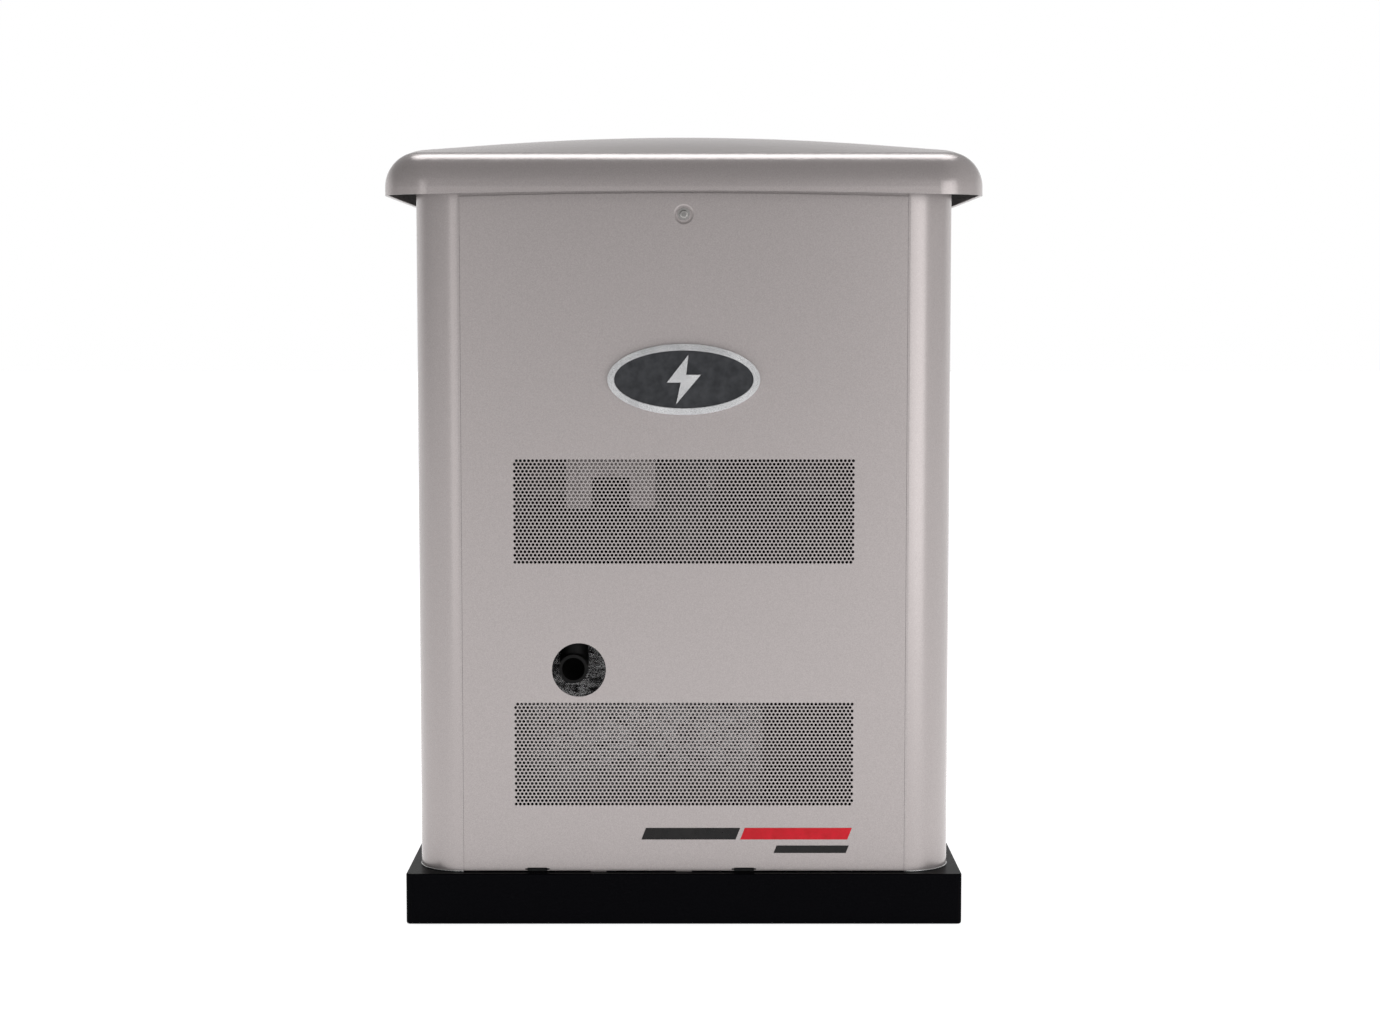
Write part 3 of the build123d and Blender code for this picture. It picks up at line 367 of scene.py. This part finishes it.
MATERIALS = {
    "body_paint": body_paint(),
    "foil": foil(),
    "pad_composite": pad_black(),
    # frame and tray steel darkened as painted shade inside the enclosure
    "dark_primer": speckled("frame_steel_painted_shade", srgb(24, 24, 25), srgb(40, 40, 41), rough=(0.5, 0.65), metal=0.2),
    "bracket_paint": speckled("light_bracket_paint", srgb(150, 142, 142), srgb(178, 170, 170), rough=(0.4, 0.5)),
    "zinc_plate": brushed("zinc_plate_bright", srgb(134, 134, 128), srgb(172, 172, 166)),
    "bright_steel": brushed("bright_stainless", srgb(188, 188, 188), srgb(226, 226, 226), (0.18, 0.3)),
    "badge_metal": brushed("polished_frame", srgb(200, 200, 202), srgb(235, 235, 236), (0.1, 0.18)),
    "machined_steel": brushed("machined_steel", srgb(150, 150, 150), srgb(196, 196, 196)),
    "lamination": laminations(),
    "copper_winding": copper(),
    # engine castings darkened to near black: painted shade inside the enclosure, not their own colour
    "cast_alloy": cast_metal("near_black_alloy_painted_shade", srgb(24, 24, 24), srgb(38, 38, 37), 0.1),
    "cast_grey": cast_metal("grey_iron_painted_shade", srgb(24, 24, 24), srgb(38, 37, 36), 0.1),
    "exhaust_steel": heat_tint_with_painted_shade(),
    "outlet_black": speckled("heatproof_black", srgb(6, 6, 6), srgb(15, 15, 15), rough=(0.55, 0.7), spec=0.15),
    "engine_black": speckled("engine_enamel", srgb(14, 14, 15), srgb(26, 26, 28), rough=(0.3, 0.42), coat=0.3),
    "foam": foam(),
    "rubber": speckled("black_rubber", srgb(14, 14, 14), srgb(30, 30, 30), rough=(0.65, 0.8)),
    "cable_black": speckled("lead_rubber", srgb(12, 12, 12), srgb(26, 26, 26), rough=(0.5, 0.65)),
    "cable_red": speckled("cable_sleeve", srgb(110, 12, 12), srgb(150, 20, 18), rough=(0.4, 0.55)),
    "ceramic_white": speckled("glazed_ceramic", srgb(222, 216, 204), srgb(240, 236, 226), rough=(0.12, 0.2)),
    "plastic_black": speckled("grained_black", srgb(14, 14, 15), srgb(28, 28, 30), rough=(0.45, 0.6),
                              bump=(700, 0.4, 0.0005)),
    "plastic_grey": speckled("grained_grey", srgb(80, 82, 84), srgb(106, 108, 110), rough=(0.45, 0.6),
                             bump=(700, 0.4, 0.0005)),
    "plastic_white": speckled("white_toggle", srgb(206, 206, 202), srgb(226, 226, 222), rough=(0.25, 0.35)),
    "plastic_yellow": speckled("yellow_plastic", srgb(205, 150, 0), srgb(232, 180, 10), rough=(0.3, 0.4)),
    "filter_paint": speckled("filter_enamel", srgb(22, 22, 24), srgb(34, 34, 36), rough=(0.2, 0.3), coat=0.5),
    "regulator_paint": speckled("regulator_enamel", srgb(38, 40, 42), srgb(54, 56, 58), rough=(0.35, 0.5)),
    "black_pipe": speckled("black_iron_pipe", srgb(20, 20, 20), srgb(38, 37, 36), rough=(0.4, 0.55)),
    "lever_red": speckled("vinyl_red", srgb(140, 14, 18), srgb(178, 26, 28), rough=(0.3, 0.4)),
    "controller_grey": speckled("controller_case", srgb(48, 51, 54), srgb(68, 71, 75), rough=(0.45, 0.6),
                                bump=(800, 0.4, 0.0005)),
    "display_glass": glass_dark(),
    "button_green": speckled("button_green", srgb(26, 110, 46), srgb(48, 148, 68), rough=(0.25, 0.35)),
    "button_red": speckled("button_red", srgb(160, 18, 18), srgb(196, 32, 30), rough=(0.25, 0.35)),
}

# True: inner faces get the painted shade
PANEL_PAINT = body_paint("warm_grey_panel_coat", True)
DOOR_PAINT = body_paint("warm_grey_door_coat", True, "front")
OWN_MATERIALS = {
    "left_side_panel": PANEL_PAINT,
    "right_side_panel": PANEL_PAINT,
    "rear_panel": body_paint("warm_grey_rear_coat", True, "rear"),
    "front_panel": DOOR_PAINT,
    "roof": body_paint("warm_grey_roof_coat", True, "roof"),
    "panel_lock": brushed("fastener_steel", srgb(116, 114, 113), srgb(184, 182, 180), (0.22, 0.36)),
}

for part in frame["record"]["subparts"]:
    node = NODES.get(part["node"])
    material = OWN_MATERIALS.get(part["node"], MATERIALS.get(part["material_slot"]))
    if node is None or material is None:
        continue
    for slot_index in range(max(1, len(node.material_slots))):
        if node.material_slots:
            node.material_slots[slot_index].material = material
        else:
            node.data.materials.append(material)


# ---------------------------------------------------------------- mesh tools
def new_piece(name, verts, faces, materials, body, smooth=False, face_materials=None):
    mesh = bpy.data.meshes.new(name)
    mesh.from_pydata([tuple(v) for v in verts], [], faces)
    for mat in materials:
        mesh.materials.append(mat)
    if face_materials is not None:
        mesh.polygons.foreach_set("material_index", face_materials)
    mesh.polygons.foreach_set("use_smooth", [smooth] * len(mesh.polygons))
    mesh.update()
    obj = bpy.data.objects.new(name, mesh)
    bpy.context.scene.collection.objects.link(obj)
    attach(obj, body)
    return obj


# ---------------------------------------------------------------- perforated screens
HOLE_PITCH = 0.00528
HOLE_R = 0.00198
SCREEN_COLUMNS = 84
SCREEN_ROWS = 30
HOLE_SIDES = 12
SAME_PLANE = 1e-7


def perforated_screen(node):
    """Sheet with true-size staggered round holes, in the place of the CAD screen."""
    low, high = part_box(node)
    front_y, back_y = low[1], high[1]
    mid_x = (low[0] + high[0]) / 2
    mid_z = (low[2] + high[2]) / 2
    row_step = HOLE_PITCH * math.sin(math.pi / 3)
    verts, faces, index = [], [], {}

    def vert(x, y, z):
        key = (round(x * 1e6), round(y * 1e6), round(z * 1e6))
        if key not in index:
            index[key] = len(verts)
            verts.append((x, y, z))
        return index[key]

    for row in range(SCREEN_ROWS):
        z_mid = mid_z + (row - (SCREEN_ROWS - 1) / 2) * row_step
        z0, z1 = z_mid - row_step / 2, z_mid + row_step / 2
        shift = HOLE_PITCH / 4 if row % 2 else -HOLE_PITCH / 4
        for column in range(SCREEN_COLUMNS):
            x_mid = mid_x + (column - (SCREEN_COLUMNS - 1) / 2) * HOLE_PITCH + shift
            x0, x1 = x_mid - HOLE_PITCH / 2, x_mid + HOLE_PITCH / 2
            rim = [(x1, z_mid), (x1, z1), (x_mid, z1), (x0, z1),
                   (x0, z_mid), (x0, z0), (x_mid, z0), (x1, z0)]
            rim_angles = [math.atan2(pz - z_mid, px - x_mid) % (2 * math.pi) for px, pz in rim]
            ring = [(x_mid + HOLE_R * math.cos(2 * math.pi * k / HOLE_SIDES),
                     z_mid + HOLE_R * math.sin(2 * math.pi * k / HOLE_SIDES)) for k in range(HOLE_SIDES)]
            front_ring = [vert(px, front_y, pz) for px, pz in ring]
            back_ring = [vert(px, back_y, pz) for px, pz in ring]
            front_rim = [vert(px, front_y, pz) for px, pz in rim]
            back_rim = [vert(px, back_y, pz) for px, pz in rim]
            # walk round the hole, joining ring steps to the nearest rim corners
            step, corner = 0, 0
            while step < HOLE_SIDES or corner < 8:
                ring_next = 2 * math.pi * (step + 1) / HOLE_SIDES
                rim_next = rim_angles[(corner + 1) % 8] + (2 * math.pi if corner == 7 else 0)
                a, c = step % HOLE_SIDES, corner % 8
                if step < HOLE_SIDES and (ring_next <= rim_next or corner >= 8):
                    b = (step + 1) % HOLE_SIDES
                    faces.append((front_ring[a], front_ring[b], front_rim[c]))
                    faces.append((back_ring[b], back_ring[a], back_rim[c]))
                    step += 1
                else:
                    d = (corner + 1) % 8
                    faces.append((front_ring[a], front_rim[d], front_rim[c]))
                    faces.append((back_ring[a], back_rim[c], back_rim[d]))
                    corner += 1
            for k in range(HOLE_SIDES):
                b = (k + 1) % HOLE_SIDES
                faces.append((front_ring[k], back_ring[k], back_ring[b], front_ring[b]))
    return verts, faces, low, high


def screen_piece(name, node):
    verts, faces, low, high = perforated_screen(node)
    mesh = bpy.data.meshes.new(name)
    mesh.from_pydata(verts, [], faces)
    bm = bmesh.new()
    bm.from_mesh(mesh)
    # fill the sawtooth edge out to the sheet's border
    for y, sign in ((low[1], 1), (high[1], -1)):
        edges = [e for e in bm.edges
                 if len(e.link_faces) == 1 and all(abs(v.co.y - y) < SAME_PLANE for v in e.verts)]
        border = [bm.verts.new((px, y, pz)) for px, pz in
                  ((low[0], low[2]), (high[0], low[2]), (high[0], high[2]), (low[0], high[2]))]
        border_edges = [bm.edges.new((border[k], border[(k + 1) % 4])) for k in range(4)]
        bmesh.ops.triangle_fill(bm, use_beauty=True, edges=edges + border_edges,
                                normal=(0, -1 if sign > 0 else 1, 0))
    bmesh.ops.remove_doubles(bm, verts=bm.verts, dist=SAME_PLANE)
    bmesh.ops.recalc_face_normals(bm, faces=bm.faces)
    bm.to_mesh(mesh)
    bm.free()
    mesh.materials.append(DOOR_PAINT)
    obj = bpy.data.objects.new(name, mesh)
    bpy.context.scene.collection.objects.link(obj)
    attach(obj, "front_door")
    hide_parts(node)
    return obj


screen_piece("upper_screen_mesh", "upper_vent_screen")
screen_piece("lower_screen_mesh", "lower_vent_screen")


# ---------------------------------------------------------------- crumpled foil insulation
def crumple(point, amount):
    """How far the foil is pushed in at a point: sharp folds at four sizes, the fine ones mostly level."""
    total = 0.0
    for scale, level, weight in ((10, 1.0, 0.45), (24, 1.5, 0.3), (55, 2.0, 0.17), (110, 2.2, 0.08)):
        n = noise.noise(Vector((point[0] * scale, point[1] * scale, point[2] * scale * level + 7.3)))
        total += weight * (1 - abs(n) * 2.4)
    return amount * total


def foil_wall(corner, along, up, out, cols, rows, verts, faces, amount=0.008):
    """One crumpled wall of the insulation, its relief only inwards."""
    base = len(verts)
    for j in range(rows + 1):
        for i in range(cols + 1):
            u, v = i / cols, j / rows
            p = corner + along * u + up * v
            edge = min(1.0, min(u, 1 - u, v, 1 - v) * 14)
            verts.append(p - out * (amount * 0.1 + crumple(p, amount) * edge))
    for j in range(rows):
        for i in range(cols):
            a = base + j * (cols + 1) + i
            faces.append((a, a + 1, a + cols + 2, a + cols + 1))


def foil_insulation():
    low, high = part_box("insulation_wrap")
    size = [high[k] - low[k] for k in range(3)]
    x, y, z = Vector((1, 0, 0)), Vector((0, 1, 0)), Vector((0, 0, 1))
    verts, faces = [], []
    lo, hi = Vector(low), Vector(high)
    foil_wall(lo, x * size[0], z * size[2], -y, 260, 230, verts, faces)
    foil_wall(Vector((hi.x, lo.y, lo.z)), y * size[1], z * size[2], x, 60, 120, verts, faces)
    foil_wall(Vector((lo.x, hi.y, lo.z)), -y * size[1], z * size[2], -x, 60, 120, verts, faces)
    foil_wall(Vector((hi.x, hi.y, lo.z)), -x * size[0], z * size[2], y, 120, 110, verts, faces)
    foil_wall(Vector((lo.x, lo.y, hi.z)), x * size[0], y * size[1], z, 120, 50, verts, faces)
    obj = new_piece("foil_insulation", verts, faces, [MATERIALS["foil"]], "enclosure", smooth=True)
    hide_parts("insulation_wrap")
    thick = obj.modifiers.new("thickness", "SOLIDIFY")
    thick.thickness = 0.003
    thick.offset = -1
    return obj


foil_insulation()


# ---------------------------------------------------------------- badge inlays
def inlay(name, outline, y, depth, material, body):
    """Flat plate with its front at y, cut to an outline of (x, z) points."""
    bm = bmesh.new()
    front = [bm.verts.new((px, y, pz)) for px, pz in outline]
    face = bm.faces.new(front)
    if face.calc_area() and face.normal.y > 0:
        face.normal_flip()
    moved = bmesh.ops.extrude_face_region(bm, geom=[face])
    for v in moved["geom"]:
        if isinstance(v, bmesh.types.BMVert):
            v.co.y += depth
    bmesh.ops.recalc_face_normals(bm, faces=bm.faces)
    mesh = bpy.data.meshes.new(name)
    bm.to_mesh(mesh)
    bm.free()
    mesh.materials.append(material)
    obj = bpy.data.objects.new(name, mesh)
    bpy.context.scene.collection.objects.link(obj)
    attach(obj, body)
    return obj


def enamel(name, low, high):
    m = Mat(name, coat=0.15, coat_rough=0.2, spec=0.15)
    m.color(m.noise(90, 3), [(0.3, low), (0.7, high)])
    m.roughness(m.noise(20, 3), 0.18, 0.28)
    return m.m


RED_ENAMEL = enamel("enamel_red", srgb(186, 8, 26), srgb(206, 14, 36))
CHARCOAL_ENAMEL = enamel("enamel_charcoal", srgb(42, 43, 46), srgb(58, 59, 62))
BLACK_ENAMEL = enamel("enamel_black", srgb(14, 13, 13), srgb(26, 24, 24))
badge_low, badge_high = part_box("badge")
badge_x = (badge_low[0] + badge_high[0]) / 2
badge_z = (badge_low[2] + badge_high[2]) / 2
FIELD_A, FIELD_B = 0.0905, 0.0375
FIELD_Y = badge_high[1] - 0.0034
FIELD_DEPTH = 0.0006
FIELD_STEPS = 96
inlay("badge_field", [(badge_x + FIELD_A * math.cos(2 * math.pi * k / FIELD_STEPS),
                       badge_z + FIELD_B * math.sin(2 * math.pi * k / FIELD_STEPS))
                      for k in range(FIELD_STEPS)],
      FIELD_Y, FIELD_DEPTH, CHARCOAL_ENAMEL, "front_door")

# ---------------------------------------------------------------- front stripes
STRIPE_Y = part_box("upper_vent_screen")[0][1] - 0.0003
STRIPE_DEPTH = 0.0004
# name, material, left and right ends of the lower edge, its height, the upper edge's height, the slant
for stripe_name, enamel_mat, left, right, bottom, top, slant in (
        ("stripe_black", BLACK_ENAMEL, -0.056, 0.068, 0.110, 0.1255, 0.006),
        ("stripe_red", RED_ENAMEL, 0.074, 0.215, 0.110, 0.1255, 0.006),
        ("stripe_small", BLACK_ENAMEL, 0.118, 0.213, 0.092, 0.102, 0.004)):
    inlay(stripe_name, [(left, bottom), (right, bottom), (right + slant, top), (left + slant, top)],
          STRIPE_Y, STRIPE_DEPTH, enamel_mat, "front_door")


# ---------------------------------------------------------------- hems
BEAD_SIDES = 8
ARC_STEPS = 12


def bead(name, path, radius, material, body, closed):
    """Round bead swept along a path, its open ends capped."""
    verts, faces = [], []
    sides = BEAD_SIDES
    count = len(path)
    for k, p in enumerate(path):
        after = path[(k + 1) % count] if closed else path[min(k + 1, count - 1)]
        before = path[k - 1] if closed else path[max(k - 1, 0)]
        side = (after - before).normalized().cross(Vector((0, 0, 1))).normalized()
        for s in range(sides):
            a = 2 * math.pi * s / sides
            verts.append(p + side * radius * math.cos(a) + Vector((0, 0, 1)) * radius * math.sin(a))
    for k in range(count if closed else count - 1):
        for s in range(sides):
            a, b = k * sides + s, k * sides + (s + 1) % sides
            c, d = ((k + 1) % count) * sides + (s + 1) % sides, ((k + 1) % count) * sides + s
            faces.append((a, b, c, d))
    if not closed:
        faces.append(tuple(reversed(range(sides))))
        faces.append(tuple((count - 1) * sides + s for s in range(sides)))
    return new_piece(name, verts, faces, [material], body, smooth=True)


def corner_arc(sx, sy, half_x, half_y, corner, start):
    """Points round one plan corner, a quarter turn from the start angle."""
    angles = [math.radians(start + 90 * k / ARC_STEPS) for k in range(ARC_STEPS + 1)]
    return [(sx * (half_x - corner) + corner * math.cos(a),
             sy * (half_y - corner) + corner * math.sin(a)) for a in angles]


def roof_hem():
    """Folded bead along the rim of the roof, following the arch of its front and back."""
    low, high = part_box("roof")
    radius = 0.0016
    half_x, half_y = high[0] - radius, high[1] - radius
    corner = 0.060 - radius
    arch_half, arch = 0.330, 0.0045
    points = []
    for sx, sy, start in ((1, 1, 0), (-1, 1, 90), (-1, -1, 180), (1, -1, 270)):
        points += corner_arc(sx, sy, half_x, half_y, corner, start)
        if start in (0, 180):
            for k in range(1, 40):
                points.append((sx * (half_x - corner) * (1 - 2 * k / 40), sy * half_y))
    path = []
    for px, py in points:
        lift = 0.0
        if abs(px) < arch_half and abs(abs(py) - half_y) < 1e-5:
            lift = arch * (1 - (px / arch_half) ** 2)
        path.append(Vector((px, py, low[2] + radius + lift)))
    return bead("roof_hem", path, radius, MATERIALS["body_paint"], "roof_assembly", True)


roof_hem()

BODY_HALF = (0.351, 0.326)
BODY_CORNER = 0.058
HEM_R = 0.0009
HEM_END_X = 0.2905                # where a side panel meets the front and rear panels


def side_hem(name, sx):
    """Bright bead along the lower edge of one side panel, from its front end to its rear end."""
    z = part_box("left_side_panel")[0][2] + HEM_R
    front_start, rear_start = (180, 90) if sx < 0 else (270, 0)
    front_arc = corner_arc(sx, -1, *BODY_HALF, BODY_CORNER, front_start)
    rear_arc = corner_arc(sx, 1, *BODY_HALF, BODY_CORNER, rear_start)
    if sx < 0:
        front_arc.reverse()
        rear_arc.reverse()
    points = [(sx * HEM_END_X, -BODY_HALF[1])] + front_arc + rear_arc + [(sx * HEM_END_X, BODY_HALF[1])]
    path = [Vector((px, py, z)) for px, py in points]
    bead(name, path, HEM_R, MATERIALS["bright_steel"], "enclosure", False)


side_hem("left_hem", -1)
side_hem("right_hem", 1)


# ---------------------------------------------------------------- floor, light and world
FLOOR_HALF = 30
FLOOR_GLOW = 0.78


def floor():
    mesh = bpy.data.meshes.new("floor")
    f = FLOOR_HALF
    mesh.from_pydata([(-f, -f, 0), (f, -f, 0), (f, f, 0), (-f, f, 0)], [], [(0, 1, 2, 3)])
    m = Mat("pale_floor", rough=0.7)
    m.color(m.noise(2, 2), [(0.3, srgb(250, 250, 250)), (0.7, srgb(253, 253, 253))])
    m.b.inputs["Emission Color"].default_value = (1, 1, 1, 1)
    m.b.inputs["Emission Strength"].default_value = FLOOR_GLOW
    mesh.materials.append(m.m)
    obj = bpy.data.objects.new("floor", mesh)
    bpy.context.scene.collection.objects.link(obj)


def area_light(name, at, target, size, power, color=(1, 1, 1)):
    data = bpy.data.lights.new(name, "AREA")
    data.shape = "RECTANGLE"
    data.size, data.size_y = size
    data.energy = power
    data.color = color
    obj = bpy.data.objects.new(name, data)
    bpy.context.scene.collection.objects.link(obj)
    obj.location = at
    obj.rotation_euler = (Vector(target) - Vector(at)).to_track_quat("-Z", "Y").to_euler()
    return obj


floor()
area_light("overhead", (0, 0.95, 3.1), (0, -0.2, 0.9), (2.4, 1.2), 37)
area_light("panel_right", (1.8, -3.1, 0.7), (0.3, -0.3, 0.55), (2.0, 2.8), 30)
area_light("panel_left", (-1.3, -3.35, 0.9), (-0.3, -0.3, 0.55), (0.55, 2.8), 5.5)


def studio_world():
    """White backdrop low behind the object, a dark room behind the camera, a dim wall on the right."""
    world = bpy.data.worlds.new("studio")
    bpy.context.scene.world = world
    world.use_nodes = True
    n, l = world.node_tree.nodes, world.node_tree.links
    split = n.new("ShaderNodeSeparateXYZ")
    l.new(n.new("ShaderNodeTexCoord").outputs["Generated"], split.inputs["Vector"])

    def ramp(axis, low, high, at_low, at_high):
        r = n.new("ShaderNodeMapRange")
        r.inputs["From Min"].default_value = low
        r.inputs["From Max"].default_value = high
        r.inputs["To Min"].default_value = at_low
        r.inputs["To Max"].default_value = at_high
        l.new(split.outputs[axis], r.inputs["Value"])
        return r.outputs["Result"]

    def combine(operation, a, b):
        c = n.new("ShaderNodeMath")
        c.operation = operation
        l.new(a, c.inputs[0])
        l.new(b, c.inputs[1])
        return c.outputs["Value"]

    backdrop = combine("MULTIPLY", ramp("Y", 0.1, 0.6, 0.0, 1.0), ramp("Z", 0.15, 0.4, 1.0, 0.35))
    wall = ramp("X", 0.0, 1.0, 0.24, 0.58)
    l.new(combine("MAXIMUM", backdrop, wall), n["Background"].inputs["Strength"])
    n["Background"].inputs["Color"].default_value = (1, 1, 1, 1)


studio_world()
bpy.context.scene.view_settings.view_transform = "Standard"
